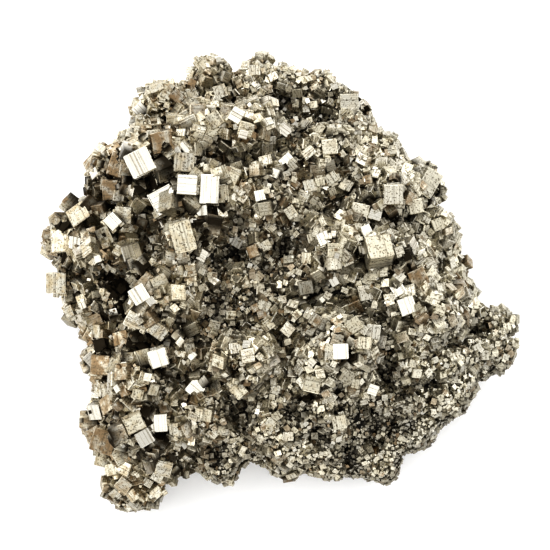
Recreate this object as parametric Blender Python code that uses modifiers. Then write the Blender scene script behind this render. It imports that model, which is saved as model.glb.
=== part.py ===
"""Pyrite specimen: one lumpy mass of massive pyrite on a flat broken base, with the crystals that
can be picked out by eye seated in it as separate cubes.

Metres, +Z up. The base lies on z = 0 and the middle of the whole specimen's outline is x = y = 0.
Lengths in the tables below are millimetres and angles are degrees.
"""

import math

import bmesh
import bpy
from mathutils import Matrix, Vector

MM = 0.001

# The mass
LOBE_SEGMENTS = 24
LOBE_RINGS = 16
KNOB_STRETCH = 1.3  # height of a knob over its width
GROUND_WAIST = 0.3  # the ground is widest at this share of its height
VOXEL = 1.8 * MM
KNOBBLE_HEIGHT = 2.0 * MM  # from the deepest to the highest of the small knobbles on the skin
KNOBBLE_WIDTH = 6.5 * MM
KEPT_FACES = 0.15  # share of the remeshed faces that the mass keeps

# The crystals
SEAT_GAP = 0.3 * MM  # clearance round a crystal in its seat, and between two crystals
EDGE_FACET = 0.07  # width of the small facets along a cube's edges, as a share of its edge
SUNK_SHARE = 0.42  # how much of a cube lies below the skin of the mass

MASS_NAME = "massive_pyrite"
CUT_WIDTH = 200 * MM  # the block that cuts the base flat, across and from its top to its foot
CUT_DEPTH = 30 * MM

# The mass is a heap of rounded lobes. Each is x, y, radius and the height of its top.
KNOBS = {
    # knobs round the outline, clockwise from the top left
    "top_left_knob": (-17, 50, 7, 23),
    "top_knob": (-3, 50.5, 7, 24),
    "top_right_knob": (7, 48.5, 6, 22),
    "upper_right_knob": (16.5, 45, 5, 20),
    "upper_right_fill": (17, 35, 6, 26),
    "upper_right_arm": (22.5, 30.5, 6.5, 25),
    "upper_right_rim": (31.5, 24, 6.5, 26),
    "right_shoulder": (34.5, 12, 6.5, 27),
    "right_rim": (37, 6, 6.5, 24),
    "east_upper": (41, -3.5, 5, 22),
    "east_knob": (50.5, -9.5, 4.5, 20),
    "east_tip": (50, -14, 5.5, 19),
    "east_shoulder": (41, -17, 7.5, 22),
    "east_ledge": (36.5, -25, 7, 21),
    "southeast_rim": (28.5, -31.5, 7, 20),
    "front_right_tip": (23, -38.5, 6.5, 18),
    "front_right": (14, -36.5, 8, 20),
    "front": (3, -36, 8.5, 20),
    "front_left": (-13, -38, 7.5, 20),
    "foot_neck": (-26, -40, 6, 17),
    "foot_lump": (-34, -45.5, 6.5, 15),
    "lower_left_rim": (-38, -27.5, 7, 21),
    "southwest_rim": (-39.5, -15, 7, 21),
    "southwest_shoulder": (-43.5, -1, 9, 22),
    "west_rim": (-46, 10.5, 10, 25),
    "northwest_rim": (-37.5, 27, 8.5, 26),
    "northwest_fill": (-32.5, 34.5, 6.5, 24),
    "lower_left_tip": (-40, -34.5, 5.5, 19),
    "upper_left_knob": (-28.5, 45, 7, 23),
    # the crown
    "crown_northwest": (-28, 23, 10, 37),
    "crown_twins": (-17, 18, 8, 38),
    "crown_north": (-20, 35, 8, 33),
    "crown_north_middle": (-6, 35, 8, 34),
    "crown_northeast": (10, 28, 11, 35),
    "crown_east": (24, 18, 9, 35),
    "crown_middle": (-2, 18, 8.5, 37),
    "crown_centre": (12, 6, 8.5, 39),
    "crown_tongue": (-20, 6, 6, 39),
    "crown_southeast": (24, 3, 10, 38),
    "crown_right": (32, -8, 10.5, 35),
    "crown_south": (13, -17, 10, 40),
    "crown_west": (-25, -5, 9, 38),
    "west_middle": (-39, 7, 9, 32),
    "south_ridge": (-8, -20, 8, 37),
    "lower_left_crown": (-30, -22, 9.5, 33),
    "lower_left_low": (-31, -33, 9, 29),
    "southeast_ledge": (34, -17, 8, 28),
    "south_middle": (9, -28, 8, 32),
    "lower_ledge": (25, -28, 6.5, 24),
    "south_low": (-1, -32, 8, 27),
    "front_middle": (-17, -31, 9, 27),
}

# Broad low ground that the knobs stand on
GROUND = {
    "middle": (-4, 4, 40, 27),
    "north": (-8, 27, 21, 25),
    "northeast": (14, 28, 17, 24),
    "east": (26, -6, 21, 25),
    "southeast": (22, -23, 17, 19),
    "south": (-2, -20, 20, 24),
    "southwest": (-26, -24, 18, 23),
    "west": (-28, 6, 21, 25),
}


# The crystals by the side of the specimen they are on. Each is x, y, edge, then the angles it tips
# toward the front, leans to the right and turns about its own axis, then its length in edges.
CRYSTALS = {
    "upper_left": (
        (-28.5, 16.5, 5.6, 18, 12, 28, 1),
        (-31, 23, 5.4, -27, -8, 23, 1),
        (-38, 26.5, 5.5, 30, 0, -18, 1),
        (-38.5, 20.5, 4.6, 24, -6, 4, 1),
        (-20.5, 18, 4.2, 18, 0, -4, 1),
        (-21, 24.5, 4.4, -22, 0, -2, 1),
        (-16, 15.5, 4, 17, 3, -3, 1.6),
        (-16.5, 27, 3.6, 12, -14, 40, 1),
        (-26.5, 28, 4.6, 34, 10, 10, 1),
    ),
    "west": (
        (-46, 17, 4.6, 48, 14, 38, 1),
        (-47, 9, 3, 15, 0, -5, 1),
        (-51, 8.5, 5.2, 8, -16, 3, 1),
        (-35, 10.5, 3, 15, 0, 43, 1),
        (-48.5, 0, 4.5, 17, -4, 0, 1),
    ),
    "left": (
        (-21.5, 5.5, 4.6, 20, 4, 15, 1.4),
        (-34.5, -6.5, 4.2, 38, -10, 30, 1),
        (-30, -6, 3.4, 14, 8, 32, 1),
        (-31.5, -11, 3.4, 16, 0, 62, 1.5),
        (-26.5, -20, 3.7, 15, 4, 18, 1),
        (-25, -13, 3, 18, -6, 54, 1.3),
    ),
    "lower_left": (
        (-42, -19, 4.4, 6, -22, -4, 1),
        (-25.5, -34, 3.7, 15, 0, 4, 1),
        (-38.5, -37, 5, 24, -10, -17, 1),
        (-41.5, -33, 3.6, 14, -18, 30, 1),
        (-32, -34, 4.1, 12, 10, 24, 1),
        (-26, -42, 3.3, 28, 6, -15, 1),
    ),
    "south": (
        (-18.5, -25, 3.6, 12, 6, -40, 1),
        (-9, -27, 2.8, 15, 0, 42, 1),
        (7, -26, 3.4, -8, 8, -12, 1),
        (13, -33, 2.8, 18, 4, 10, 1),
        (13, -20, 3, 15, 0, 2, 1),
        (20, -15, 3, 20, 8, -8, 1),
    ),
    "north": (
        (2, 26, 3.1, 16, 0, 42, 1.2),
        (-8.5, 24, 2.8, 14, -6, 2, 1),
        (16.5, 44, 4.2, 4, 6, 4, 1),
        (13, 29.5, 3.2, 18, -6, 6, 1),
    ),
    "right": (
        (25, 16.5, 4.2, 26, 6, 0, 1),
        (18, 14, 3.8, 16, -8, -12, 1),
        (29.5, 13.5, 2.9, 18, 0, 10, 1),
        (12, 0.5, 3.1, 16, 0, 2, 1),
        (22.5, 0, 5.2, -34, 8, 14, 1),
        (28, -11, 3.7, 14, 6, 20, 1),
        (26, -4.5, 2.8, 16, 6, 32, 1),
        (20.5, -6.5, 4, 20, -28, 42, 1),
        (30, -1.5, 3.7, 34, 8, 24, 1),
        (34, 22.5, 4, 22, 34, -34, 1.5),
    ),
}


def clear_scene():
    for old in list(bpy.data.objects):
        bpy.data.objects.remove(old, do_unlink=True)


def new_collection(name):
    made = bpy.data.collections.new(name)
    bpy.context.scene.collection.children.link(made)
    return made


def add_object(name, mesh, collection, parent):
    made = bpy.data.objects.new(name, mesh)
    collection.objects.link(made)
    made.parent = parent
    return made


def pyrite(name, colour, roughness):
    """A brassy metal; the mass is duller and darker than the faces of the crystals."""
    made = bpy.data.materials.new(name)
    made.use_nodes = True
    shader = made.node_tree.nodes["Principled BSDF"]
    shader.inputs["Base Color"].default_value = (*colour, 1.0)
    shader.inputs["Roughness"].default_value = roughness
    shader.inputs["Metallic"].default_value = 1.0
    return made


def every_lobe():
    """The centre, radius and half height of each lobe, in metres."""
    for x, y, radius, top in KNOBS.values():
        half_height = KNOB_STRETCH * radius
        yield Vector((x, y, top - half_height)) * MM, radius * MM, half_height * MM
    for x, y, radius, top in GROUND.values():
        half_height = (1 - GROUND_WAIST) * top
        yield Vector((x, y, GROUND_WAIST * top)) * MM, radius * MM, half_height * MM


def skin_point(x, y):
    """The highest point of the lobes above x, y, and the way the skin faces there."""
    best = None
    for centre, radius, half_height in every_lobe():
        off = Vector((x, y)) * MM - centre.xy
        share = off.length_squared / radius**2
        if share >= 0.98:
            continue
        height = centre.z + half_height * math.sqrt(1 - share)
        if best is None or height > best[0].z:
            way = Vector((off.x / radius**2, off.y / radius**2, (height - centre.z) / half_height**2))
            best = (Vector((x * MM, y * MM, height)), way.normalized())
    return best


def crystal_shape(edge, length):
    """A cube, stretched along y where a crystal is long."""
    shape = bmesh.new()
    bmesh.ops.create_cube(shape, size=1, matrix=Matrix.Diagonal((edge, edge * length, edge, 1)))
    mesh = bpy.data.meshes.new("crystal")
    shape.to_mesh(mesh)
    shape.free()
    return mesh


def place_crystal(thing, plan):
    """Seats a crystal on the skin of the mass, turned, leaned and tipped, partly sunk into it."""
    x, y, edge, tip, lean, turn, _ = plan
    point, outward = skin_point(x, y)
    thing.rotation_mode = "ZYX"
    thing.rotation_euler = (math.radians(tip), math.radians(lean), math.radians(turn))
    thing.location = point + outward * (0.5 - SUNK_SHARE) * edge * MM


def build_crystal(name, plan, material, collection, parent):
    edge = plan[2] * MM
    made = add_object(name, crystal_shape(edge, plan[6]), collection, parent)
    made.data.materials.append(material)
    place_crystal(made, plan)
    facets = made.modifiers.new("edge_facets", "BEVEL")
    facets.width = EDGE_FACET * edge
    facets.segments = 1
    return made


def build_seat(name, plan, collection, parent):
    """The room a crystal needs: the crystal with the clearance added all round."""
    edge = plan[2] * MM
    shape = bmesh.new()
    size = (edge + 2 * SEAT_GAP, edge * plan[6] + 2 * SEAT_GAP, edge + 2 * SEAT_GAP, 1)
    bmesh.ops.create_cube(shape, size=1, matrix=Matrix.Diagonal(size))
    mesh = bpy.data.meshes.new(name)
    shape.to_mesh(mesh)
    shape.free()
    seat = add_object(name, mesh, collection, parent)
    place_crystal(seat, plan)
    seat.hide_render = True
    seat.display_type = "WIRE"
    return seat


def knobble_pattern():
    """Soft lumps of one size in all directions."""
    made = bpy.data.textures.new("knobbles", "CLOUDS")
    made.noise_scale = KNOBBLE_WIDTH
    made.noise_depth = 1
    return made


def build_mass(material, collection, parent):
    """All lobes as one skin: overlapping spheres, remeshed to a single surface, cut flat at z = 0."""
    shape = bmesh.new()
    for centre, radius, half_height in every_lobe():
        place = Matrix.Translation(centre) @ Matrix.Diagonal((radius, radius, half_height, 1))
        bmesh.ops.create_uvsphere(
            shape, u_segments=LOBE_SEGMENTS, v_segments=LOBE_RINGS, radius=1, matrix=place
        )
    mesh = bpy.data.meshes.new(MASS_NAME)
    shape.to_mesh(mesh)
    shape.free()
    mesh.materials.append(material)
    mass = add_object(MASS_NAME, mesh, collection, parent)
    skin = mass.modifiers.new("one_skin", "REMESH")
    skin.mode = "VOXEL"
    skin.voxel_size = VOXEL
    knobbles = mass.modifiers.new("knobbles", "DISPLACE")
    knobbles.texture = knobble_pattern()
    knobbles.texture_coords = "LOCAL"
    knobbles.strength = KNOBBLE_HEIGHT
    knobbles.mid_level = 0.5
    fewer = mass.modifiers.new("fewer_faces", "DECIMATE")
    fewer.ratio = KEPT_FACES
    return mass


def cut(thing, cutter, name):
    step = thing.modifiers.new(name, "BOOLEAN")
    step.operation = "DIFFERENCE"
    step.solver = "EXACT"
    step.object = cutter


def cut_all(thing, cutters, name):
    step = thing.modifiers.new(name, "BOOLEAN")
    step.operation = "DIFFERENCE"
    step.solver = "EXACT"
    step.operand_type = "COLLECTION"
    step.collection = cutters


def build_floor_cut(collection, parent):
    """A slab below the base plane that takes away everything under z = 0."""
    shape = bmesh.new()
    size = Matrix.Diagonal((CUT_WIDTH, CUT_WIDTH, CUT_DEPTH, 1))
    place = Matrix.Translation((0, 0, -0.5 * CUT_DEPTH)) @ size
    bmesh.ops.create_cube(shape, size=1, matrix=place)
    mesh = bpy.data.meshes.new("under_base")
    shape.to_mesh(mesh)
    shape.free()
    slab = add_object("under_base", mesh, collection, parent)
    slab.hide_render = True
    slab.display_type = "WIRE"
    return slab


def reach(plan):
    """Half the diagonal of a crystal's seat."""
    edge = plan[2]
    gap = 2 * SEAT_GAP / MM
    return 0.5 * math.hypot(edge + gap, edge * plan[6] + gap, edge + gap) * MM


def centre_on_frame(frame, collection):
    """Moves the whole specimen so that the middle of its outline is over the origin."""
    graph = bpy.context.evaluated_depsgraph_get()
    corners = []
    for thing in collection.objects:
        if thing.type == "MESH":
            seen = thing.evaluated_get(graph)
            corners += [thing.matrix_world @ Vector(corner) for corner in seen.bound_box]
    for axis in (0, 1):
        along = [corner[axis] for corner in corners]
        frame.location[axis] = -0.5 * (min(along) + max(along))


clear_scene()
specimen = new_collection("pyrite_specimen")
cutting_shapes = new_collection("cutting_shapes")
seats = bpy.data.collections.new("seats")
cutting_shapes.children.link(seats)
root = bpy.data.objects.new("specimen_frame", None)
specimen.objects.link(root)

granular_pyrite = pyrite("granular_pyrite", (0.34, 0.31, 0.23), 0.5)
crystal_pyrite = pyrite("crystal_pyrite", (0.72, 0.66, 0.50), 0.25)

mass = build_mass(granular_pyrite, specimen, root)
cut(mass, build_floor_cut(cutting_shapes, root), "flat_base")

placed = []
for side, plans in CRYSTALS.items():
    for number, plan in enumerate(plans, start=1):
        name = f"{side}_crystal_{number}"
        crystal = build_crystal(name, plan, crystal_pyrite, specimen, root)
        for seat, seat_plan in placed:
            if (seat.location - crystal.location).length < reach(plan) + reach(seat_plan):
                cut(crystal, seat, f"beside_{seat.name}")
        placed.append((build_seat(f"{name}_seat", plan, seats, root), plan))
cut_all(mass, seats, "crystal_seats")
centre_on_frame(root, specimen)
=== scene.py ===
import math

import bpy
import numpy as np
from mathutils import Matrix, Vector, kdtree
from mathutils.bvhtree import BVHTree


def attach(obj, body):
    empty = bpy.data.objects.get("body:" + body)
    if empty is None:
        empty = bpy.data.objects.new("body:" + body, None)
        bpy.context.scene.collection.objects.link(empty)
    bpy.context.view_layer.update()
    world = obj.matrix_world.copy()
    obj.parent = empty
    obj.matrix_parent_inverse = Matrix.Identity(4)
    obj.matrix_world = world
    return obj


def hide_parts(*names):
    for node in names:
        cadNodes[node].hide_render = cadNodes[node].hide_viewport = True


# A cluster of pyrite: a granular mass, cubes that stand out of it, and the druse between them.
# Metres, in the row frame. Lengths in the dictionaries are millimetres unless they say otherwise.

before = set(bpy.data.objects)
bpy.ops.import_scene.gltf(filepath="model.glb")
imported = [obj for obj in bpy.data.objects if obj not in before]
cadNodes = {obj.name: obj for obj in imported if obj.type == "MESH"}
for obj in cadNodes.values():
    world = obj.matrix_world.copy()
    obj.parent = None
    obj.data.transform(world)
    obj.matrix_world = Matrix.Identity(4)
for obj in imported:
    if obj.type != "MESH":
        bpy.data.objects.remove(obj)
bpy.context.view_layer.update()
mm = 0.001
draws = np.random.default_rng(4207)


# Shader arithmetic

class Wire:
    # One output socket of a node tree. Arithmetic on it adds Math nodes.
    def __init__(self, tree, socket):
        self.tree = tree
        self.socket = socket

    def math(self, operation, *values):
        node = self.tree.nodes.new("ShaderNodeMath")
        node.operation = operation
        for place, value in enumerate(values):
            feed(self.tree, node.inputs[place], value)
        return Wire(self.tree, node.outputs[0])

    def __add__(self, other):
        return self.math("ADD", self, other)

    def __radd__(self, other):
        return self.math("ADD", other, self)

    def __sub__(self, other):
        return self.math("SUBTRACT", self, other)

    def __rsub__(self, other):
        return self.math("SUBTRACT", other, self)

    def __mul__(self, other):
        return self.math("MULTIPLY", self, other)

    def __rmul__(self, other):
        return self.math("MULTIPLY", other, self)

    def __truediv__(self, other):
        return self.math("DIVIDE", self, other)

    def __pow__(self, other):
        return self.math("POWER", self, other)

    def clipped(self):
        return self.math("MINIMUM", self.math("MAXIMUM", self, 0.0), 1.0)

    def ramp(self, low, high):
        # 0 at low, 1 at high, and straight between
        return ((self - low) * (1.0 / (high - low))).clipped()


def feed(tree, target, value):
    if isinstance(value, Wire):
        tree.links.new(value.socket, target)
    elif isinstance(value, tuple) and len(value) == 3 and target.type == "RGBA":
        target.default_value = (*value, 1.0)
    else:
        target.default_value = value


class Look:
    # One material and its node tree.
    def __init__(self, name):
        self.material = bpy.data.materials.new(name)
        self.material.use_nodes = True
        self.tree = self.material.node_tree
        self.shader = self.tree.nodes["Principled BSDF"]

    def node(self, kind, settings, links, output=0):
        made = self.tree.nodes.new(kind)
        for name, value in settings.items():
            setattr(made, name, value)
        for name, value in links.items():
            feed(self.tree, made.inputs[name], value)
        return Wire(self.tree, made.outputs[output])

    def mix(self, share, first, second):
        # colours: first where share is 0, second where it is 1
        made = self.tree.nodes.new("ShaderNodeMix")
        made.data_type = "RGBA"
        feed(self.tree, made.inputs[0], share)
        feed(self.tree, made.inputs[6], first)
        feed(self.tree, made.inputs[7], second)
        return Wire(self.tree, made.outputs[2])

    def attribute(self, name):
        # the three numbers of a vector attribute
        whole = self.node("ShaderNodeAttribute", {"attribute_name": name}, {}, "Vector")
        parts = self.tree.nodes.new("ShaderNodeSeparateXYZ")
        feed(self.tree, parts.inputs[0], whole)
        return [Wire(self.tree, output) for output in parts.outputs]

    def vector(self, x, y, z):
        return self.node("ShaderNodeCombineXYZ", {}, {"X": x, "Y": y, "Z": z})

    def noise(self, place, scale, detail=2.0):
        return self.node(
            "ShaderNodeTexNoise", {}, {"Vector": place, "Scale": scale, "Detail": detail}
        )

    def where(self):
        return self.node("ShaderNodeTexCoord", {}, {}, "Object")

    def set(self, name, value):
        feed(self.tree, self.shader.inputs[name], value)

    def bump(self, height, strength, distance):
        return self.node(
            "ShaderNodeBump", {}, {"Height": height, "Strength": strength, "Distance": distance}
        )


# The grain of the cluster, by place

# Usual edge of the crystals round a spot: x, y in the plan, edge
grainSpots = np.array([
    (-29, 15, 3.4), (-37, 20, 3.2), (-48, 6, 3.0), (-17, 13, 3.0), (-24, 22, 3.2),
    (-30, 42, 2.0), (-34, 32, 2.2), (-16, 46, 1.9), (-2, 47, 1.6), (8, 45, 1.4), (17, 42, 1.7),
    (-18, 32, 2.7), (-5, 33, 2.4), (-5, 24, 2.0), (10, 26, 1.9), (22, 28, 1.4), (17, 33, 1.4),
    (26, 15, 2.4), (33, 20, 2.0), (36, 8, 2.0), (14, 12, 1.8), (12, -2, 2.3),
    (-5, 1, 1.5), (0, 11, 1.7), (-8, -8, 1.5), (-20, 3, 2.8), (-33, -8, 2.8), (-46, -5, 2.2),
    (23, -3, 2.8), (20, -13, 2.4), (29, -13, 2.3), (40, -8, 1.6), (50, -15, 1.3), (41, -22, 1.2),
    (34, -30, 1.1), (21, -40, 1.1), (10, -37, 1.3), (13, -23, 1.9), (5, -29, 1.7),
    (-10, -24, 2.1), (-16, -32, 1.9), (-10, -42, 1.4), (1, -40, 1.3), (-27, -22, 2.5),
    (-40, -20, 2.5), (-31, -36, 2.9), (-39, -38, 3.0), (-26, -44, 2.4), (-34, -50, 1.4),
    (28, -20, 1.5), (30, -24, 1.3),
])
grainReach = 6.5
# near the floor the grain is finer: the most there, what is added by the top of that band, its height
lowGrain = {"most": 1.2, "more": 2.4, "height": 14}

# Spots where the crystals stand apart and the mass shows, darkened there by painted shade: x, y, reach
hollows = np.array([
    (1, 42, 3.2), (5, 31, 3.0), (12, 33, 3.0), (16, 33, 2.5), (-26, 33, 2.5),
    (-1, 17, 3.0), (-24, 19, 1.8), (-23, 15, 1.8), (-31, 10, 2.8), (-30, 5, 3.0), (-40, 9, 2.2),
    (-8, 8, 3.0), (-10, 2, 4.0), (-14, -1, 2.6), (-3, -2, 3.2), (6, 5, 2.5), (1, 3, 3.2),
    (-38, -4, 3.2), (-32, -5, 3.0), (-13, -9, 3.0), (-7, -10, 3.0), (7, -8, 3.4),
    (26, 8, 2.6), (21, 7, 2.0), (28, -3, 2.2), (-30, -17, 2.8), (-19, -18, 2.8), (-25, -18, 2.2),
    (8, -18, 2.8), (17, -15, 2.4), (-7, -15, 3.2), (-14, -13, 2.6), (-24, -26, 3.0),
    (-12, -32, 3.2), (4, -34, 3.4), (13, -30, 2.6), (26, -24, 1.7), (28, -29, 2.0),
    (22, -35, 3.0), (26, -35, 3.0), (30, -35, 2.8), (-8, -35, 3.0), (-13, -42, 3.8), (-18, -46, 3.0),
    (-5, -44, 3.2), (16, -42, 3.6), (29, -42, 3.0), (10, -39, 2.8), (38, -18, 1.8), (-39, -23, 2.0),
])
# how strong their middles are (this sinks the mass, thins and shrinks the crystals, and sets painted
# shade), the share of the reach that counts, how far and how finely their outlines are bent, and how much
# and how finely their depth varies
hollowShape = {"deep": 0.9, "reach": 0.9, "bend": 1.5, "bendSize": 2.4, "vary": 0.6, "varySize": 3.5}

# Spots where the mass stands higher: x, y, reach, height
mounds = np.array([(-12.5, 28.5, 6.5, 5.0), (27, -24, 4, 2.6), (2, -23, 4.5, 3.2), (23, -9, 5, 3.4)])


def grainAt(points):
    # weighted mean of the spots' grains, each weight falling with distance as a bell curve
    plan = points[:, None, :2] / mm - grainSpots[None, :, :2]
    weight = np.exp(-0.5 * (plan**2).sum(2) / grainReach**2) + 1e-9
    grain = (weight * grainSpots[:, 2]).sum(1) / weight.sum(1)
    low = np.clip(points[:, 2] / (lowGrain["height"] * mm), 0.0, 1.0)
    return np.minimum(grain, lowGrain["most"] + lowGrain["more"] * low)


def hollowAt(points):
    # deep in the middle of a hollow, falling to 0 as a bell curve, with its outline bent by noise
    shape = hollowShape
    waves = np.stack([lumps(points, shape["bendSize"] * mm, k) for k in (31, 32)], 1)
    bent = points[:, :2] / mm + shape["bend"] * waves
    plan = bent[:, None, :] - hollows[None, :, :2]
    bell = np.exp(-((plan**2).sum(2)) / (shape["reach"] * hollows[None, :, 2]) ** 2)
    varied = np.clip(1 + shape["vary"] * lumps(points, shape["varySize"] * mm, 33), 0.4, 1)
    return shape["deep"] * bell.max(1) * varied


# Meshes

def makePiece(name, points, quads, triangles, look, vectors, spread=None):
    # a mesh from whole arrays; vectors are point attributes, spread is a place on the map per corner
    mesh = bpy.data.meshes.new(name)
    corners = np.concatenate([quads.ravel(), triangles.ravel()]).astype(np.int32)
    starts = np.concatenate([
        np.arange(len(quads)) * 4,
        len(quads) * 4 + np.arange(len(triangles)) * 3,
    ]).astype(np.int32)
    mesh.vertices.add(len(points))
    mesh.vertices.foreach_set("co", points.astype(np.float32).ravel())
    mesh.loops.add(len(corners))
    mesh.loops.foreach_set("vertex_index", corners)
    mesh.polygons.add(len(starts))
    mesh.polygons.foreach_set("loop_start", starts)
    mesh.update(calc_edges=True)
    mesh.polygons.foreach_set("use_smooth", np.zeros(len(starts), bool))
    for title, values in vectors.items():
        made = mesh.attributes.new(title, "FLOAT_VECTOR", "POINT")
        made.data.foreach_set("vector", values.astype(np.float32).ravel())
    if spread is not None:
        chart = mesh.uv_layers.new(name="OFBake")
        chart.data.foreach_set("uv", spread[corners].astype(np.float32).ravel())
    mesh.materials.append(look.material)
    made = bpy.data.objects.new(name, mesh)
    bpy.context.scene.collection.objects.link(made)
    return made


def meshArrays(thing):
    # merged corners and triangles of a CAD node
    mesh = thing.data
    mesh.calc_loop_triangles()
    points = np.empty(len(mesh.vertices) * 3)
    mesh.vertices.foreach_get("co", points)
    triangles = np.empty(len(mesh.loop_triangles) * 3, dtype=np.int64)
    mesh.loop_triangles.foreach_get("vertices", triangles)
    points = points.reshape(-1, 3)
    rounded = np.round(points / 1e-7).astype(np.int64)
    _, first, where = np.unique(rounded, axis=0, return_index=True, return_inverse=True)
    triangles = where.ravel()[triangles].reshape(-1, 3)
    whole = (
        (triangles[:, 0] != triangles[:, 1])
        & (triangles[:, 1] != triangles[:, 2])
        & (triangles[:, 2] != triangles[:, 0])
    )
    return points[first], triangles[whole]


def edgesOf(triangles):
    # each edge once, and the edge opposite to each corner of each triangle
    sides = np.concatenate([triangles[:, [1, 2]], triangles[:, [2, 0]], triangles[:, [0, 1]]])
    sides.sort(axis=1)
    edges, which = np.unique(sides, axis=0, return_inverse=True)
    return edges, which.ravel().reshape(3, -1).T


def divided(points, triangles):
    # every triangle as four, through the middles of its sides
    edges, opposite = edgesOf(triangles)
    middles = 0.5 * (points[edges[:, 0]] + points[edges[:, 1]])
    a, b, c = triangles.T
    bc, ca, ab = (opposite + len(points)).T
    finer = np.concatenate([
        np.stack([a, ab, ca], 1), np.stack([b, bc, ab], 1),
        np.stack([c, ca, bc], 1), np.stack([ab, bc, ca], 1),
    ])
    return np.concatenate([points, middles]), finer


def evened(points, triangles, rounds, share):
    # each point moves a share of the way to the mean of its neighbours
    edges, _ = edgesOf(triangles)
    count = np.bincount(edges.ravel(), minlength=len(points)).astype(float)
    for _ in range(rounds):
        total = np.zeros_like(points)
        for axis in range(3):
            total[:, axis] = np.bincount(
                edges[:, 0], points[edges[:, 1], axis], len(points)
            ) + np.bincount(edges[:, 1], points[edges[:, 0], axis], len(points))
        points = points + share * (total / count[:, None] - points)
    return points


def normalsOf(points, triangles):
    # the mean way of the triangles round each point, larger ones counting for more
    a, b, c = (points[triangles[:, k]] for k in range(3))
    ways = np.cross(b - a, c - a)
    total = np.zeros_like(points)
    for axis in range(3):
        for k in range(3):
            total[:, axis] += np.bincount(triangles[:, k], ways[:, axis], len(points))
    return total / np.maximum(np.linalg.norm(total, axis=1), 1e-20)[:, None]


def hashed(cells, seed):
    # a repeatable number from -1 to 1 for each whole-number cell
    mixed = (
        cells[..., 0] * 374761393 + cells[..., 1] * 668265263
        + cells[..., 2] * 2147483647 + seed * 69069
    ) & 0xFFFFFFFF
    mixed = ((mixed ^ (mixed >> 13)) * 1274126177) & 0xFFFFFFFF
    mixed = mixed ^ (mixed >> 16)
    return (mixed & 0xFFFF) / 32767.5 - 1.0


def lumps(points, size, seed):
    # smooth noise: random numbers on a grid of that size, blended between grid corners
    spot = points / size
    cell = np.floor(spot).astype(np.int64)
    part = spot - cell
    part = part * part * (3 - 2 * part)
    total = np.zeros(len(points))
    for dx in (0, 1):
        for dy in (0, 1):
            for dz in (0, 1):
                weight = (
                    np.where(dx, part[:, 0], 1 - part[:, 0])
                    * np.where(dy, part[:, 1], 1 - part[:, 1])
                    * np.where(dz, part[:, 2], 1 - part[:, 2])
                )
                total += weight * hashed(cell + np.array([dx, dy, dz]), seed)
    return total


# Crystals

# Each face of a box: the axis it looks along, its sign, and the two axes across it. The growth
# lines of a face run along the first of the two, so they turn by a quarter from face to face.
boxFaces = (
    (2, 1, 0, 1), (2, -1, 0, 1), (0, 1, 1, 2), (0, -1, 1, 2), (1, 1, 2, 0), (1, -1, 2, 0),
)
# growth steps: half the width of a riser, in half edges, and how high a faint, a plain and a bold
# crystal's steps are
stepRiser = 0.012
stepBoldness = [0.25, 0.6, 1.0]


def turnsFrom(axes, angles):
    # rotation matrices for turns by angles about unit axes
    x, y, z = axes.T
    c, s = np.cos(angles), np.sin(angles)
    t = 1 - c
    return np.stack([
        np.stack([t * x * x + c, t * x * y - s * z, t * x * z + s * y], 1),
        np.stack([t * x * y + s * z, t * y * y + c, t * y * z - s * x], 1),
        np.stack([t * x * z - s * y, t * y * z + s * x, t * z * z + c], 1),
    ], 1)


def facing(ways):
    # frames whose third axis is the given way
    helper = np.where(np.abs(ways[:, 2:3]) < 0.9, [[0.0, 0.0, 1.0]], [[1.0, 0.0, 0.0]])
    first = np.cross(helper, ways)
    first /= np.linalg.norm(first, axis=1)[:, None]
    return np.stack([first, np.cross(ways, first), ways], 2)


def randomTurns(ways, wobble):
    # frames about the given ways: tipped by a bell-curve angle and spun freely
    count = len(ways)
    spin = turnsFrom(np.tile([0.0, 0.0, 1.0], (count, 1)), draws.uniform(0, 2 * np.pi, count))
    level = draws.uniform(0, 2 * np.pi, count)
    tipAxis = np.stack([np.cos(level), np.sin(level), np.zeros(count)], 1)
    tip = turnsFrom(tipAxis, np.radians(wobble) * np.abs(draws.normal(0, 1, count)))
    return facing(ways) @ tip @ spin


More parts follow.
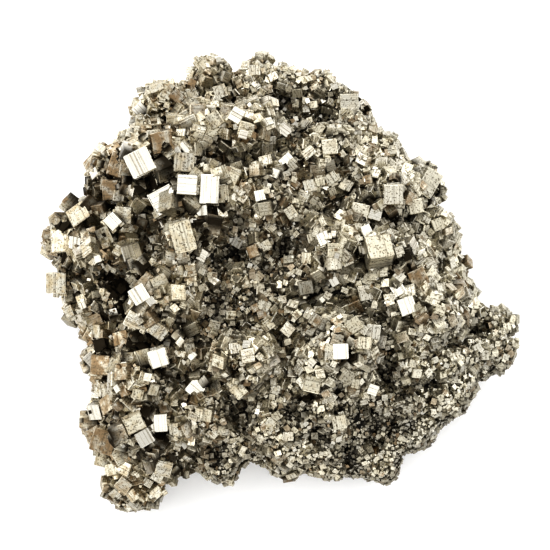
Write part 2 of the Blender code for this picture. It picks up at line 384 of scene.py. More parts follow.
def crystalArrays(centres, turns, halves, detail):
    # boxes whose faces are height fields over two parameters: u along the growth lines and v
    # across them. A face is a stair of flat strips in v, and its rim drops to the box's edges.
    count = len(centres)
    bevel, drop, steps = detail["bevel"], detail["drop"], detail["steps"]
    if bevel:
        alongLines = np.array([-1, -1 + bevel, 1 - bevel, 1])
    else:
        alongLines = np.array([-1.0, 1.0])
    if steps:
        places = np.sort(draws.uniform(-0.9 + bevel, 0.9 - bevel, (count, 6, steps)), axis=2)
        inner = np.stack([places - stepRiser, places + stepRiser], 3).reshape(count, 6, -1)
        climbs = draws.normal(0, 1, (count, 6, steps + 1)) * draws.choice(
            stepBoldness, (count, 1, 1), p=detail["bold"]
        )
        levels = detail["depth"] * (climbs - climbs.max(axis=2, keepdims=True))
        heights = np.repeat(levels, 2, axis=2)
        rims = np.ones((count, 6, 1))
        acrossLines = np.concatenate([-rims, -rims * (1 - bevel), inner, rims * (1 - bevel), rims], 2)
        heights = np.concatenate([0 * rims, heights, 0 * rims], 2)
    else:
        acrossLines = np.broadcast_to(alongLines, (count, 6, len(alongLines)))
        heights = np.zeros((count, 6, len(alongLines)))
    rows, columns = acrossLines.shape[2], len(alongLines)
    u = np.broadcast_to(alongLines[None, None, None, :], (count, 6, rows, columns))
    v = np.broadcast_to(acrossLines[:, :, :, None], u.shape)
    rim = np.maximum(np.abs(u), np.abs(v)) > 0.9999
    level = 1 + np.broadcast_to(heights[:, :, :, None], u.shape)
    outward = np.where(rim, 1 - drop, level)
    uPlace = np.clip(u, -(1 - drop), 1 - drop)
    vPlace = np.clip(v, -(1 - drop), 1 - drop)
    box = np.empty((*u.shape, 3))
    for face, (axis, sign, along, across) in enumerate(boxFaces):
        box[:, face, :, :, axis] = sign * outward[:, face]
        box[:, face, :, :, along] = uPlace[:, face]
        box[:, face, :, :, across] = vPlace[:, face]
    flat = box.reshape(count, -1, 3) * halves[:, None, :]
    points = centres[:, None, :] + np.einsum("nij,npj->npi", turns, flat)

    # quads of one face, then of the six faces with the far ones wound the other way; the face that
    # lies in the mass is a single quad between its corners
    corner = (np.arange(rows - 1)[:, None] * columns + np.arange(columns - 1)[None, :]).ravel()
    one = np.stack([corner, corner + 1, corner + 1 + columns, corner + columns], 1)
    plain = np.array([[0, columns - 1, rows * columns - 1, (rows - 1) * columns]])
    faces = [
        (one if sign > 0 else (plain if axis == 2 else one)[:, ::-1]) + face * rows * columns
        for face, (axis, sign, _, _) in enumerate(boxFaces)
    ]
    perCrystal = 6 * rows * columns
    quads = np.concatenate(faces)[None] + (np.arange(count) * perCrystal)[:, None, None]

    # how far along and across its face a point is, in millimetres, and a number for the face
    seeds = np.broadcast_to(draws.uniform(0, 50, (count, 6, 1, 1)), u.shape)
    size = np.stack([
        np.stack([halves[:, along], halves[:, across]], 1) for _, _, along, across in boxFaces
    ], 1) / mm
    spots = np.stack([u * size[:, :, None, None, 0], v * size[:, :, None, None, 1], seeds], 4)

    # the map: one cell for each crystal and six small fields in it, one for each face
    side = math.ceil(math.sqrt(count))
    cell = np.arange(count)
    face = np.arange(6)
    left = (cell % side)[:, None] + (face % 3 / 3)[None, :]
    low = (cell // side)[:, None] + (face // 3 / 2)[None, :]
    margin = detail["margin"]
    across = (0.5 + 0.5 * u * (1 - margin)) / 3
    up = (0.5 + 0.5 * v * (1 - margin)) / 2
    chart = np.stack([
        (left[:, :, None, None] + across) / side, (low[:, :, None, None] + up) / side,
    ], 4)
    return (
        points.reshape(-1, 3), quads.reshape(-1, 4), spots.reshape(-1, 3), chart.reshape(-1, 2), perCrystal,
    )


# Painted shade on the crystals: their colour is darkened low between them, in cavities and hollows, on the
# sides facing the front and the right, and near the floor
paintedShadeRules = {
    "ownStart": 0.48, "ownRise": 0.6,  # how free of painted shade a crystal's middle is, and how much more its end is
    "cavity": 0.5, "hollow": 1.1,  # how much painted shade cavities and hollows put on the crystals
    "fadeFrom": 1.5, "fadeHeight": 1.4,  # both fade on crystals that stand so far out of the mass
    "side": 0.6, "foot": 0.75, "footHeight": 12,  # the painted shade of the sides facing front and right, and of the lowest part
}


def shadedSides(ways):
    # how much painted shade a side gets: 0 on top, and up to 1 on the sides that look to the front and the
    # right
    steep = np.clip((0.8 - ways[:, 2]) / 0.5, 0, 1)
    return steep * np.clip(0.35 + 0.35 * ways[:, 0] - 0.65 * ways[:, 1], 0, 1)


def crystalPiece(name, crystals, detail, look):
    # one mesh of many crystals, with the attributes that its look reads
    points, quads, spots, chart, each = crystalArrays(
        crystals["centre"], crystals["turn"], crystals["half"], detail
    )
    tone = np.repeat(crystals["tone"], each, axis=0)
    # painted shade: a point's unshaded share grows with its height above the mass, so the feet of crystals
    # get dark colour standing in for their shadow
    below = nearestSkin(crystals["centre"])
    nearest = np.repeat(below, each)
    height = ((points - skinPoints[nearest]) * smoothNormals[nearest]).sum(1)
    edge = np.repeat(2 * crystals["half"].mean(1), each)
    unshaded = np.clip((height / edge + detail["bury"]) / detail["rise"], 0, 1)
    # the outward end of a crystal gets none of the painted shade however deep it sits
    outward = crystals["turn"][:, :, 2] * crystals["half"][:, 2:]
    outward = np.repeat(outward / (crystals["half"][:, 2:] ** 2), each, axis=0)
    own = ((points - np.repeat(crystals["centre"], each, axis=0)) * outward).sum(1)
    unshaded = np.maximum(unshaded, np.clip(paintedShadeRules["ownStart"] + paintedShadeRules["ownRise"] * own, 0, 1))
    # painted shade: crystals in cavities and hollows are darkened, unless they stand well above the mass
    standing = ((crystals["centre"] - skinPoints[below]) * smoothNormals[below]).sum(1)
    fade = np.clip(paintedShadeRules["fadeFrom"] - standing / (paintedShadeRules["fadeHeight"] * mm), 0, 1)
    hollow = paintedShadeRules["hollow"] * hollowAt(crystals["centre"])
    dim = np.maximum(paintedShadeRules["cavity"] * cavity[below], hollow) * fade
    # painted shade also on the sides that face the front and the right, and darker towards the floor
    dim = np.maximum(dim, paintedShadeRules["side"] * shadedSides(smoothNormals[below]))
    foot = paintedShadeRules["foot"] - points[:, 2] / (paintedShadeRules["footHeight"] * mm)
    paintedDark = np.maximum(np.repeat(dim, each), foot)
    gleam = np.repeat(crystals["gleam"], each)
    lie = np.stack([unshaded, paintedDark, gleam], 1)
    points[:, 2] = np.maximum(points[:, 2], 0)
    vectors = {"faceSpot": spots, "tone": tone, "lie": lie}
    return makePiece(name, points, quads, np.empty((0, 3), int), look, vectors, chart)


def joined(groups):
    # several sets of crystals as one
    return {key: np.concatenate([g[key] for g in groups]) for key in groups[0]}


def toneOf(points, count):
    # three numbers for each crystal: its own shade, how brown it has tarnished, how coarse it is
    plan = points / mm
    warm = np.clip(0.5 - plan[:, 0] / 90, 0.05, 0.95)
    brown = (draws.random(count) < 0.08 + 0.24 * warm) * draws.uniform(0.4, 1.0, count)
    return np.stack([draws.random(count), brown, warm], 1)


def gleamOf(points, count):
    # a few crystals have bright unworn faces, more of them towards the upper left of the plan
    share = np.clip(0.09 + (points[:, 1] - points[:, 0]) / (900 * mm), 0.04, 0.2)
    return (draws.random(count) < share) * draws.uniform(0.4, 1.0, count)


# The separate cubes' places, from their CAD nodes

def boxOf(thing):
    # centre, axes and half sizes of a cube: its three largest sets of parallel faces give the axes
    points, triangles = meshArrays(thing)
    a, b, c = (points[triangles[:, k]] for k in range(3))
    ways = np.cross(b - a, c - a)
    area = np.linalg.norm(ways, axis=1)
    ways = ways / area[:, None]
    first = ways[area.argmax()]
    same = np.abs(ways @ first)
    side = np.where(same < 0.05, area, 0)
    second = ways[side.argmax()]
    second = second - first * (second @ first)
    second /= np.linalg.norm(second)
    third = np.cross(first, second)
    if abs(third[2]) < max(abs(first[2]), abs(second[2])):
        if abs(first[2]) > abs(second[2]):
            first, second, third = second, third, first
        else:
            first, second, third = third, first, second
    if third[2] < 0:
        first, third = -first, -third
    turn = np.stack([first, second, third], 1)
    local = points @ turn
    low, high = local.min(0), local.max(0)
    return turn @ (0.5 * (low + high)), turn, 0.5 * (high - low)


def turnedTo(turn, way):
    # the frame turned by the least angle that brings its third axis onto a way
    axis = np.cross(turn[:, 2], way)
    size = np.linalg.norm(axis)
    angle = math.atan2(size, turn[:, 2] @ way)
    return turnsFrom((axis / max(size, 1e-9))[None], np.array([angle]))[0] @ turn


# the way the brightest flat faces look, towards the key light
keyHeight = 75.0  # degrees above the floor
keyWay = (0.0, -math.cos(math.radians(keyHeight)), math.sin(math.radians(keyHeight)))

# How each kind of crystal is cut, in half edges: the bevel's width and drop, how many growth steps
# a face has, their depth and the shares of faint, plain and bold ones, and the margin of a face's
# field on the map. Painted shade reaches up from bury below the mass, and is gone rise further up, in
# edges.
cubeDetail = {
    "bevel": 0.10, "drop": 0.055, "steps": 11, "depth": 0.012, "bold": [0.3, 0.4, 0.3],
    "margin": 0.12, "bury": 0.6, "rise": 0.6,
}
coarseDetail = {
    "bevel": 0.12, "drop": 0.06, "steps": 2, "depth": 0.02, "bold": [0.4, 0.4, 0.2],
    "margin": 0.15, "bury": 0.10, "rise": 0.45,
}
middleDetail = {"bevel": 0.12, "drop": 0.06, "steps": 0, "margin": 0.15, "bury": 0.10, "rise": 0.45}
smallDetail = {"bevel": 0.0, "drop": 0.0, "steps": 0, "margin": 0.25, "bury": 0.30, "rise": 0.5}


# Looks

def crystalLook(name, settings):
    # Metal of three shades by crystal, with growth lines that run along each face. The lines are
    # noise stretched along the face: its place is squeezed along the lines and stretched across.
    look = Look(name)
    along, across, seed = look.attribute("faceSpot")
    shade, brown, warm = look.attribute("tone")
    unshaded, paintedDark, gleam = look.attribute("lie")
    wide = look.noise(look.vector(along * 0.03, across * settings["lines"], seed), 1.0, 3.0)
    squeezed = look.vector(along * 0.12, across * settings["lines"] * 3.1, seed + 7.0)
    fine = look.noise(squeezed, 1.0, 1.0)
    blotch = look.noise(look.vector(along, across, seed), settings["blotches"], 3.0)
    pale = look.mix(shade, settings["silver"], settings["brass"])
    stain = (blotch.ramp(0.42, 0.62) * warm * settings["stain"]).clipped()
    stained = look.mix(stain, pale, settings["honey"])
    tarnished = look.mix((brown * blotch.ramp(0.30, 0.55)).clipped(), stained, settings["brown"])
    groove = (1.0 - wide.ramp(0.36, 0.50)) * settings["grooves"]
    pits = look.noise(look.vector(along, across, seed + 3.0), settings["pits"], 1.0).ramp(0.43, 0.36)
    grooved = look.mix((groove + 0.75 * pits).clipped(), tarnished, settings["dark"])
    bright = look.mix(gleam * (1.0 - 1.3 * groove).clipped(), grooved, settings["gleam"])
    # painted shade: a near-black colour mixed in where points lie low between crystals, in cavities and
    # hollows, on the front and right sides and near the floor
    paintedShade = ((1.0 - unshaded) * 0.9 + paintedDark * settings["paintedDarkShare"]).clipped()
    look.set("Base Color", look.mix(paintedShade, bright, settings["paintedShade"]))
    look.set("Metallic", 1.0 - paintedShade * 0.15)
    matte = settings["polish"] + 0.22 * blotch.ramp(0.35, 0.7) + 0.18 * shade
    look.set("Roughness", matte * (1.0 - 0.5 * gleam) + 0.25 * paintedShade)
    relief = wide * 0.65 + fine * 0.35
    look.set("Normal", look.bump(relief, settings["relief"], 0.12 * mm))
    return look


def grainLook(name, settings):
    # one shade for each grain, with painted shade making it darker towards its foot, in cavities and
    # hollows, and low down
    look = Look(name)
    shade, brown, warm = look.attribute("tone")
    unshaded, paintedDark, gleam = look.attribute("lie")
    pale = look.mix(shade, settings["silver"], settings["brass"])
    stained = look.mix(warm * settings["stain"], pale, settings["honey"])
    tarnished = look.mix(brown, stained, settings["brown"])
    speckle = look.noise(look.where(), 2200.0, 1.0).ramp(0.48, 0.60) * 0.5
    speckled = look.mix(speckle, tarnished, settings["dark"])
    bright = look.mix(gleam, speckled, settings["gleam"])
    # painted shade: a near-black colour mixed in where points lie low between crystals, in cavities and
    # hollows, on the front and right sides and near the floor
    paintedShade = ((1.0 - unshaded) * 0.9 + paintedDark * settings["paintedDarkShare"]).clipped()
    look.set("Base Color", look.mix(paintedShade, bright, settings["paintedShade"]))
    look.set("Metallic", 1.0 - paintedShade * 0.15)
    look.set("Roughness", settings["polish"] + 0.3 * shade * (1.0 - gleam) + 0.2 * paintedShade)
    return look


def massLook(name, settings):
    # dark broken pyrite, with brighter grains where fine noise is high; in cavities and hollows it is
    # painted near-black as painted shade, without grains
    look = Look(name)
    spot = look.where()
    coarse = look.noise(spot, 220.0, 4.0)
    fine = look.noise(spot, 1100.0, 3.0)
    _, paintedDark, _ = look.attribute("lie")
    glint = fine.ramp(0.52, 0.66) * (1.0 - paintedDark)
    dull = look.mix(coarse.ramp(0.35, 0.65), settings["dull"], settings["pale"])
    glinting = look.mix(glint, dull, settings["bright"])
    look.set("Base Color", look.mix(paintedDark.ramp(0.1, 0.7), glinting, settings["dark"]))
    look.set("Metallic", 0.6 + 0.35 * glint)
    look.set("Roughness", 0.62 - 0.25 * glint)
    look.set("Normal", look.bump(fine * 0.7 + coarse * 0.3, 0.9, 0.5 * mm))
    return look


cubeShades = {
    "silver": (0.645, 0.622, 0.542), "brass": (0.665, 0.625, 0.50), "honey": (0.49, 0.395, 0.24),
    "brown": (0.28, 0.202, 0.12), "dark": (0.13, 0.105, 0.07),
    # the first colour on the next line is the near-black painted shade of the crystals' feet, cavities and
    # hollows
    "paintedShade": (0.024, 0.018, 0.010), "gleam": (0.74, 0.715, 0.64),
}
cubeLook = crystalLook("cube_pyrite", {
    **cubeShades, "paintedDarkShare": 0.15, "pits": 2.4, "lines": 2.2, "blotches": 0.45, "stain": 0.8,
    "grooves": 0.5, "polish": 0.12, "relief": 0.22,
})
druseLook = crystalLook("druse_pyrite", {
    **cubeShades, "paintedDarkShare": 0.75, "pits": 2.8, "lines": 3.0, "blotches": 0.6, "stain": 0.7,
    "grooves": 0.6, "polish": 0.13, "relief": 0.2,
})
smallLook = grainLook("grain_pyrite", {**cubeShades, "paintedDarkShare": 0.85, "stain": 0.35, "polish": 0.16})
skinLook = massLook("mass_pyrite", {
    # the first colour is the near-black painted shade of the mass's cavities and hollows
    "dark": (0.014, 0.012, 0.009), "dull": (0.06, 0.05, 0.035),
    "pale": (0.26, 0.235, 0.175), "bright": (0.42, 0.38, 0.29),
})


def clearOf(points, edges, spacing, older=None):
    # keeps a point only if it is far enough from all kept before it, by the two edges' mean
    tree = kdtree.KDTree(len(points))
    for number, point in enumerate(points):
        tree.insert(point, number)
    tree.balance()
    free = np.ones(len(points), bool)
    if older is not None:
        for point, edge in zip(*older):
            reach = 0.5 * spacing * (edge + edges.max())
            for _, number, distance in tree.find_range(point, reach):
                if distance < 0.5 * spacing * (edge + edges[number]):
                    free[number] = False
    for number in range(len(points)):
        if not free[number]:
            continue
        reach = 0.5 * spacing * (edges[number] + edges.max())
        for _, other, distance in tree.find_range(points[number], reach):
            if other > number and distance < 0.5 * spacing * (edges[number] + edges[other]):
                free[other] = False
    return free


# The mass

massName = "massive_pyrite"
valleys = {"rounds": 70, "share": 0.6, "fill": 0.85, "most": 9}
skinPoints, skinTriangles = meshArrays(cadNodes[massName])
# the valleys are filled part of the way up to a much smoother surface
smoother = evened(skinPoints, skinTriangles, valleys["rounds"], valleys["share"])
coarseNormals = normalsOf(smoother, skinTriangles)
rise = ((smoother - skinPoints) * coarseNormals).sum(1)
rise = evened(np.stack([rise, rise, rise], 1), skinTriangles, 3, 0.5)[:, 0]
filling = valleys["fill"] * np.clip(rise, 0, valleys["most"] * mm)
skinPoints = skinPoints + coarseNormals * filling[:, None]
skinPoints[:, 2] = np.maximum(skinPoints[:, 2], 0)
skinPoints, skinTriangles = divided(skinPoints, skinTriangles)
skinPoints, skinTriangles = divided(skinPoints, skinTriangles)
onBase = skinPoints[:, 2] < 0.02 * mm
level = evened(skinPoints, skinTriangles, 6, 0.5)
skinPoints = np.where(onBase[:, None], skinPoints, level)
skinPoints[:, 2] = np.maximum(skinPoints[:, 2], 0)
skinNormals = normalsOf(skinPoints, skinTriangles)

# Clumps: each spot belongs to the nearest of many seeds. It is domed about the seed and cut by a
# cleft where the two nearest seeds are equally far. Waves bend the clefts.
clumps = {
    "tries": 4000, "width": 4.0, "perGrain": 2.2, "dome": 1.1, "domeReach": 6.0,
    "cleft": 2.6, "slope": 2.6, "wave": 1.6, "waveSize": 5,
}
seedPoints = skinPoints[draws.integers(0, len(skinPoints), clumps["tries"])]
seedSizes = (clumps["width"] + clumps["perGrain"] * grainAt(seedPoints)) * mm
seedPoints = seedPoints[clearOf(seedPoints, seedSizes, 1.0)]
waves = np.stack([lumps(skinPoints, clumps["waveSize"] * mm, k) for k in (21, 22, 23)], 1)
wavy = skinPoints + clumps["wave"] * mm * waves
seedGaps = np.sqrt(((wavy[:, None, :] - seedPoints[None]) ** 2).sum(2)) / mm
seedGaps.partition(1, axis=1)
nearGap, nextGap = seedGaps[:, 0], seedGaps[:, 1]
cleft = np.clip(1 - (nextGap - nearGap) / clumps["slope"], 0, 1) ** 1.5
dome = 1 - (nearGap / clumps["domeReach"]) ** 2
# roughness: height, size and seed of each of its three noises
roughness = [(0.75, 4.2, 3), (0.40, 1.9, 5), (0.22, 0.9, 8)]
rough = sum(height * lumps(skinPoints, size * mm, seed) for height, size, seed in roughness)
# the skin lies in by this much, so that the druse on it reaches the cluster's outline
sinking = {"hollow": 1.3, "perGrain": 0.62, "side": 1.5}
sunk = sinking["hollow"] * hollowAt(skinPoints) + sinking["perGrain"] * grainAt(skinPoints)
# the sides lie further in, more so towards -x
steep = np.clip(1 - 1.6 * skinNormals[:, 2], 0, 1)
sunk += sinking["side"] * steep * np.clip(0.8 - skinPoints[:, 0] / (50 * mm), 0.2, 1)
gap = np.linalg.norm(skinPoints[:, None, :2] / mm - mounds[None, :, :2], axis=2)
sunk -= (mounds[:, 3] * np.exp(-((gap / mounds[:, 2]) ** 2))).sum(1)
relief = rough + clumps["dome"] * dome - clumps["cleft"] * cleft - sunk
freeHeight = np.clip(skinPoints[:, 2] / (1.5 * mm), 0, 1)
skinPoints = skinPoints + skinNormals * (relief * freeHeight * mm)[:, None]
skinPoints[:, 2] = np.maximum(skinPoints[:, 2], 0)
smoothNormals = normalsOf(evened(skinPoints, skinTriangles, 4, 0.5), skinTriangles)
broad = evened(skinPoints, skinTriangles, 160, 0.7)
# how deep each spot of the mass lies below a broad smoothing of it, or in a hollow; the druse is thinner
# there, and painted shade darkens it
cavity = np.clip(((broad - skinPoints) * smoothNormals).sum(1) / (2.2 * mm), 0, 1)
cavity = np.maximum(cavity, 0.9 * hollowAt(skinPoints))
lieOfSkin = np.stack([np.ones(len(cavity)), cavity, np.zeros(len(cavity))], 1)
noQuads = np.empty((0, 4), int)
skin = makePiece("granular_mass", skinPoints, noQuads, skinTriangles, skinLook, {"lie": lieOfSkin})
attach(skin, "root")
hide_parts(massName)
skinTree = BVHTree.FromPolygons(skinPoints.tolist(), skinTriangles.tolist())


def nearestSkin(points):
    # a corner of the triangle of the mass nearest to each point
    found = [skinTree.find_nearest(point)[2] for point in points.tolist()]
    return skinTriangles[found, 0]


print("mass:", len(skinTriangles), "triangles")


# The separate cubes

brightCubes = [
    "upper_left_crystal_1", "upper_left_crystal_2", "upper_left_crystal_5", "upper_left_crystal_7",
    "west_crystal_2", "west_crystal_4", "left_crystal_3", "left_crystal_5", "lower_left_crystal_2",
    "south_crystal_1", "south_crystal_5", "north_crystal_1", "right_crystal_6", "right_crystal_7",
    "right_crystal_8",
]
brownCubes = [
    "upper_left_crystal_3", "upper_left_crystal_4", "upper_left_crystal_9", "left_crystal_2",
    "lower_left_crystal_1", "lower_left_crystal_3", "lower_left_crystal_4", "right_crystal_9",
]
# added to each half edge to close its seat, how much of its own way a plain cube keeps, how far its
# middle stands out of the mass at least, in half edges, and how far it may be let in or brought out
cubeStand = {"grow": 0.15, "ownWay": 1.2, "least": 0.34, "in": 0.5, "out": 4.0}
cubeNames = sorted(name for name in cadNodes if name != massName)
cubeBoxes = [boxOf(cadNodes[name]) for name in cubeNames]
cubeCentres = np.array([box[0] for box in cubeBoxes])
cubeTurns = np.array([box[1] for box in cubeBoxes])
cubeHalves = np.array([box[2] for box in cubeBoxes]) + cubeStand["grow"] * mm
for number, name in enumerate(cubeNames):
    # the bright ones look straight at the key light, and the others are turned part of the way
    ownWay = 0.0 if name in brightCubes else cubeStand["ownWay"]
    way = np.array(keyWay) + ownWay * cubeTurns[number][:, 2]
    cubeTurns[number] = turnedTo(cubeTurns[number], way / np.linalg.norm(way))
# a cube that the mass has nearly closed over is brought out
below = nearestSkin(cubeCentres)
standing = ((cubeCentres - skinPoints[below]) * smoothNormals[below]).sum(1)
lift = cubeStand["least"] * cubeHalves.mean(1) - standing
lift = np.clip(lift, -cubeStand["in"] * mm, cubeStand["out"] * mm)
cubeCentres = cubeCentres + smoothNormals[below] * lift[:, None]
cubeTones = toneOf(cubeCentres, len(cubeNames))
cubeTones[:, 1] = [1.0 if name in brownCubes else 0.0 for name in cubeNames]
cubeGleams = np.array([1.0 if name in brightCubes else 0.0 for name in cubeNames])
for number, name in enumerate(cubeNames):
    one = slice(number, number + 1)
    crystal = {
        "centre": cubeCentres[one], "turn": cubeTurns[one], "half": cubeHalves[one],
        "tone": cubeTones[one], "gleam": cubeGleams[one],
    }
    piece = crystalPiece(name + "_faces", crystal, cubeDetail, cubeLook)
    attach(piece, "root")
    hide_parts(name)
print("separate cubes:", len(cubeNames))


# The druse

def insideCubes(points, room):
    # true where a point is in one of the separate cubes, grown by room
    found = np.zeros(len(points), bool)
    for centre, turn, half in zip(cubeCentres, cubeTurns, cubeHalves):
        local = np.abs((points - centre) @ turn)
        found |= (local < half + room).all(1)
    return found


triangleCorners = skinPoints[skinTriangles]
triangleWays = np.cross(
    triangleCorners[:, 1] - triangleCorners[:, 0], triangleCorners[:, 2] - triangleCorners[:, 0]
)
triangleAreas = 0.5 * np.linalg.norm(triangleWays, axis=1)
coveredAreas = np.where(triangleCorners[:, :, 2].min(1) > 0.25 * mm, triangleAreas, 0)


def pointsOn(count):
    # points spread evenly over the area of the mass, and the way it faces there
    picked = np.searchsorted(np.cumsum(coveredAreas), draws.random(count) * coveredAreas.sum())
    picked = np.minimum(picked, len(coveredAreas) - 1)
    a, b = draws.random((2, count))
    over = a + b > 1
    a, b = np.where(over, 1 - a, a), np.where(over, 1 - b, b)
    shares = np.stack([1 - a - b, a, b], 1)[:, :, None]
    points = (triangleCorners[picked] * shares).sum(1)
    ways = (smoothNormals[skinTriangles[picked]] * shares).sum(1)
    return points, ways / np.linalg.norm(ways, axis=1)[:, None]


# Cubes of the druse that catch the eye, given one by one: x, y in the plan, edge, spin in degrees, and
# whether bright (1), plain (0) or tarnished (-1)
landmarks = np.array([
    (20, 3, 2.9, 35, 1), (30, 3, 2.0, 10, 1), (34, 4, 2.0, 40, 1), (-5, 13, 2.4, 12, 1),
    (13, -6, 2.2, 30, 1), (-19, -22, 2.0, 45, 1), (22, -29, 2.3, 70, 1), (-16, 10, 2.4, 5, 1),
    (-40, -1, 1.7, 20, 1), (9, 3, 2.8, 25, 1), (18, 10, 3.9, 20, 0), (26, 10, 2.5, 30, -1),
    (-6, 1, 2.7, 20, -1),
    (-20, 11, 4.2, 35, 0), (6, -7, 3.2, 10, 0), (16, -18, 3.3, 35, 0), (-2, 10, 3.2, 25, 0),
    (2, -16, 2.9, 50, 0), (15, -27, 3.3, 20, 0), (5, -28, 2.6, 5, 0), (7, 4, 2.3, 15, 0),
    (-11, 22, 3.8, 40, 0), (-3, 23, 2.9, 8, 0), (-10, 32, 3.2, 60, 1), (-14, 33, 3.4, 35, 0),
    (-38, -28, 3.8, 15, 0), (-28, -40, 3.4, 30, 1), (-36, -16, 3.6, 10, -1), (-45, -13, 3.6, 25, 0),
    (-6, 48, 2.8, 0, 0), (-14, 45, 3.2, 20, 0), (-23, 42, 3.2, 50, -1), (7, 16, 2.7, 15, 0),
    (13, 19, 2.8, 35, 0), (37, 9, 2.7, 20, 0), (16, -2, 2.8, 5, 0), (5, 36, 2.0, 40, 1),
    (-22, 24, 3.0, 28, 1),
])


def plantLandmarks():
    # each stands on the highest part of the mass near its place in the plan
    gap = np.linalg.norm(skinPoints[None, :, :2] - landmarks[:, None, :2] * mm, axis=2)
    spot = np.where(gap < 1.2 * mm, skinPoints[None, :, 2], -1).argmax(1)
    edge = landmarks[:, 2] * mm
    ways = smoothNormals[spot] + 1.5 * np.array(keyWay)
    ways /= np.linalg.norm(ways, axis=1)[:, None]
    ways[landmarks[:, 4] > 0] = keyWay
    count = len(landmarks)
    spin = turnsFrom(np.tile([0.0, 0.0, 1.0], (count, 1)), np.radians(landmarks[:, 3]))
    tones = toneOf(skinPoints[spot], count)
    tones[:, 1] = landmarks[:, 4] < 0
    return {
        "centre": skinPoints[spot] + ways * (0.2 * edge)[:, None], "turn": facing(ways) @ spin,
        "half": 0.5 * edge[:, None] * draws.uniform(0.9, 1.1, (count, 3)), "tone": tones,
        "gleam": (landmarks[:, 4] > 0) * 1.0,
    }


# Sizes of the druse, coarse first: candidates, edge as shares of the place's grain, limits on the
# edge in millimetres, how close two may stand, how far they tip in degrees, how deep they sit, and
# how much thinner they stand in hollows
tiers = {
    "coarse": {
        "tries": 9000, "low": 0.95, "high": 1.65, "least": 2.0, "most": 6.0, "spacing": 0.66,
        "wobble": 26, "sunk": 0.14, "thin": 0.6,
    },
    "middle": {
        "tries": 20000, "low": 0.55, "high": 1.05, "least": 1.05, "most": 3.4, "spacing": 0.70,
        "wobble": 32, "sunk": 0.10, "thin": 0.7,
    },
    "fine": {
        "tries": 60000, "low": 0.45, "high": 1.2, "least": 0.55, "most": 1.7, "spacing": 0.72,
        "wobble": 40, "sunk": 0.10, "thin": 0.6,
    },
    "dust": {
        "tries": 90000, "low": 0.30, "high": 0.70, "least": 0.30, "most": 0.75, "spacing": 0.75,
        "wobble": 60, "sunk": 0.0, "thin": 0.5,
    },
}


def growTier(tier, older):
    # crystals at random places of the mass, clear of one another and of the older ones
    points, ways = pointsOn(tier["tries"])
    grain = grainAt(points)
    edges = grain * draws.uniform(tier["low"], tier["high"], len(points))
    hollow = np.maximum(1.1 * hollowAt(points), 0.8 * cavity[nearestSkin(points)])
    kept = draws.random(len(points)) > tier["thin"] * np.minimum(hollow, 1.1)
    kept &= edges > tier["least"]
    edges = np.minimum(edges, tier["most"]) * (1 - 0.5 * np.minimum(hollow, 1))
    kept &= ~insideCubes(points, 0.2 * mm)
    kept &= points[:, 2] > 0.6 * edges * mm
    points, ways, edges = points[kept], ways[kept], edges[kept] * mm
    kept = clearOf(points, edges, tier["spacing"], older)
    points, ways, edges = points[kept], ways[kept], edges[kept]
    count = len(points)
    halves = 0.5 * edges[:, None] * draws.uniform(0.82, 1.15, (count, 3))
    centres = points + ways * (edges * (0.22 - tier["sunk"]))[:, None]
    crystals = {
        "centre": centres, "turn": randomTurns(ways, tier["wobble"]), "half": halves,
        "tone": toneOf(points, count), "gleam": gleamOf(points, count),
    }
    return crystals, (points, edges)


def broodOf(parents, share, count, low, high, wobble, axes=3, top=1.0):
    # smaller crystals grown into the faces of a share of the parents, count on each, low to high
    # times as large and tipped by wobble degrees: on the side faces only where axes is 2, and none
    # higher up the parent than top
    chosenParents = np.repeat(np.nonzero(draws.random(len(parents["half"])) < share)[0], count)
    total = len(chosenParents)
    spot = draws.uniform(-0.9, 0.9, (total, 3))
    axis = draws.integers(0, axes, total)
    sign = draws.choice([-1.0, 1.0], total)
    spot[np.arange(total), axis] = sign * draws.uniform(0.75, 1.0, total)
    if top < 1:
        spot[:, 2] = np.minimum(spot[:, 2], top - 0.6 * draws.random(total))
    turn = parents["turn"][chosenParents]
    half = parents["half"][chosenParents]
    centres = parents["centre"][chosenParents] + np.einsum("nij,nj->ni", turn, spot * half)
    tipAxis = draws.normal(0, 1, (total, 3))
    tipAxis /= np.linalg.norm(tipAxis, axis=1)[:, None]
    tip = turnsFrom(tipAxis, np.radians(wobble) * draws.normal(0, 1, total))
    size = half.mean(1)[:, None] * draws.uniform(low, high, (total, 1))
    return {
        "centre": centres, "turn": tip @ turn, "half": size * draws.uniform(0.8, 1.2, (total, 3)),
        "tone": toneOf(centres, total), "gleam": gleamOf(centres, total),
    }


separate = {
    "centre": cubeCentres, "turn": cubeTurns, "half": cubeHalves, "tone": cubeTones, "gleam": cubeGleams,
}
planted = plantLandmarks()
standing = joined([separate, planted])
older = (standing["centre"], 1.8 * standing["half"].mean(1))
coarse, placed = growTier(tiers["coarse"], older)
older = tuple(np.concatenate(pair) for pair in zip(older, placed))
middle, placed = growTier(tiers["middle"], older)
older = tuple(np.concatenate(pair) for pair in zip(older, placed))
fine, placed = growTier(tiers["fine"], older)
older = tuple(np.concatenate(pair) for pair in zip(older, placed))
dust, placed = growTier(tiers["dust"], older)
coarseBrood = broodOf(coarse, share=0.8, count=2, low=0.35, high=0.7, wobble=14)
middleBrood = broodOf(middle, share=0.5, count=1, low=0.4, high=0.7, wobble=20)
coarseCrumbs = broodOf(coarse, share=1.0, count=5, low=0.12, high=0.30, wobble=40)
middleCrumbs = broodOf(middle, share=1.0, count=3, low=0.16, high=0.36, wobble=40)
cubeBrood = broodOf(separate, share=1.0, count=6, low=0.2, high=0.42, wobble=12, axes=2, top=0.3)
druseCounts = [len(group["half"]) for group in (coarse, middle, fine, dust, coarseBrood, middleBrood)]
print("druse:", *druseCounts)


def addDruse(name, crystals, detail, look):
    piece = crystalPiece(name, crystals, detail, look)
    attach(piece, "root")


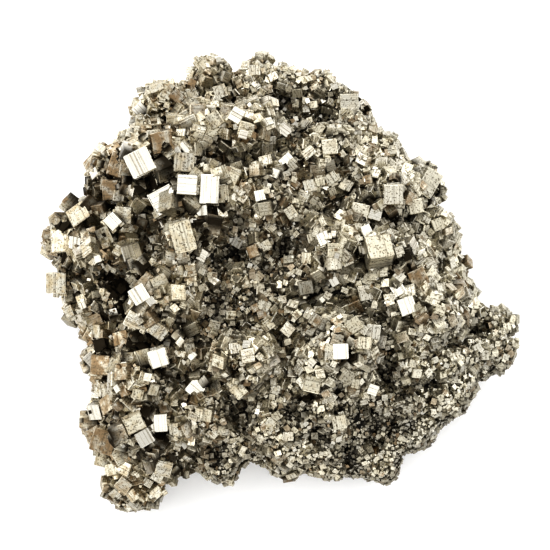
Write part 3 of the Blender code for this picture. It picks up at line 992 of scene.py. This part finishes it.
def addInThirds(name, crystals, detail, look):
    # as three pieces of equal count: the -x third, the middle and the +x third
    order = np.argsort(crystals["centre"][:, 0], kind="stable")
    for side, part in zip(("west", "middle", "east"), np.array_split(order, 3)):
        third = {key: values[part] for key, values in crystals.items()}
        addDruse(f"{name}_{side}", third, detail, look)


addDruse("planted_druse", joined([cubeBrood, planted]), coarseDetail, druseLook)
addInThirds("coarse_druse", coarse, coarseDetail, druseLook)
addInThirds("coarse_druse_brood", coarseBrood, middleDetail, druseLook)
addInThirds("middle_druse", middle, middleDetail, druseLook)
addDruse("middle_druse_brood", middleBrood, smallDetail, smallLook)
addDruse("coarse_crumbs", coarseCrumbs, smallDetail, smallLook)
addDruse("middle_crumbs", middleCrumbs, smallDetail, smallLook)
addDruse("fine_druse", fine, smallDetail, smallLook)
addDruse("dust_druse", dust, smallDetail, smallLook)


# Floor, light and camera

def floorLook(settings):
    # white; it glows a little more with distance from the middle, so that it stays white
    look = Look("floor")
    reach = look.node("ShaderNodeVectorMath", {"operation": "LENGTH"}, {0: look.where()}, "Value")
    near, far = settings["near"], settings["far"]
    look.set("Base Color", (0.9, 0.9, 0.9))
    look.set("Roughness", 0.8)
    look.set("Emission Color", look.mix(reach.ramp(0.3, 1.4), (near, near, near), (far, far, far)))
    look.set("Emission Strength", 1.0)
    return look


def makeFloor(radius):
    # a flat disc that rises at its rim like a dish, as a profile turned about the middle
    rings = np.concatenate([[0.0], np.linspace(0.2, 1.0, 24) * radius])
    rise = 2.6 * np.clip(rings / radius - 0.6, 0, None) ** 2 * radius
    spokes = 64
    angle = np.arange(spokes) * 2 * np.pi / spokes
    points = np.stack([
        rings[:, None] * np.cos(angle), rings[:, None] * np.sin(angle),
        np.repeat(rise[:, None], spokes, 1),
    ], 2).reshape(-1, 3)
    ring, spoke = np.meshgrid(np.arange(len(rings) - 1), np.arange(spokes), indexing="ij")
    ring, spoke = ring.ravel(), spoke.ravel()
    onward = (spoke + 1) % spokes
    quads = np.stack([
        ring * spokes + spoke, (ring + 1) * spokes + spoke,
        (ring + 1) * spokes + onward, ring * spokes + onward,
    ], 1)
    noTriangles = np.empty((0, 3), int)
    floor = makePiece("floor", points, quads, noTriangles, floorLook({"near": 0.12, "far": 0.5}), {})


makeFloor(3.0)


def softBox(name, target, way, distance, size, brightness):
    # a disc that looks equally bright from anywhere in front of it
    lamp = bpy.data.lights.new(name, "AREA")
    lamp.shape = "DISK"
    lamp.size = size
    lamp.energy = brightness * math.pi * math.pi * (0.5 * size) ** 2
    made = bpy.data.objects.new(name, lamp)
    made.visible_camera = False
    bpy.context.scene.collection.objects.link(made)
    way = Vector(way).normalized()
    made.location = Vector(target) + way * distance
    made.rotation_mode = "QUATERNION"
    made.rotation_quaternion = way.to_track_quat("Z", "Y")


# the camera: where it aims, degrees above the floor, lens and sensor, and the width seen at the aim
view = {
    "aim": (-0.5, -1.0, 20.0), "elevation": 75.0, "lens": 100.0, "sensor": 36, "width": 126.5,
}
aim = Vector(view["aim"]) * mm
tilt = math.radians(view["elevation"])
back = Vector((0, -math.cos(tilt), math.sin(tilt)))
distance = view["width"] * view["lens"] / view["sensor"] * mm
camera = bpy.data.objects.new("camera", bpy.data.cameras.new("camera"))
camera.data.lens = view["lens"]
camera.data.clip_start = 0.01
camera.location = aim + back * distance
camera.rotation_mode = "QUATERNION"
camera.rotation_quaternion = (-back).to_track_quat("-Z", "Y")
bpy.context.scene.collection.objects.link(camera)
bpy.context.scene.camera = camera

# lamps, in metres: the way to each from the aim, how far off it is, its size and its brightness
softBox("key", aim, back, distance=0.60, size=0.26, brightness=0.50)
softBox("left", aim, (-0.8, 0.1, 0.8), distance=0.8, size=0.72, brightness=1.15)
softBox("right", aim, (0.9, 0.25, 0.6), distance=0.8, size=0.5, brightness=0.95)
softBox("rear", aim, (0.1, 0.9, 0.6), distance=0.9, size=0.6, brightness=1.05)
softBox("front", aim, (0.1, -0.95, 0.5), distance=0.9, size=0.5, brightness=0.7)

studioGrey = 0.82
world = bpy.data.worlds.new("studio")
bpy.context.scene.world = world
world.use_nodes = True
world.node_tree.nodes["Background"].inputs["Color"].default_value = (studioGrey, studioGrey, studioGrey, 1)
world.node_tree.nodes["Background"].inputs["Strength"].default_value = 1.0
bpy.context.scene.view_settings.view_transform = "Standard"
bpy.context.scene.view_settings.look = "High Contrast"
bpy.context.scene.view_settings.exposure = 0.0
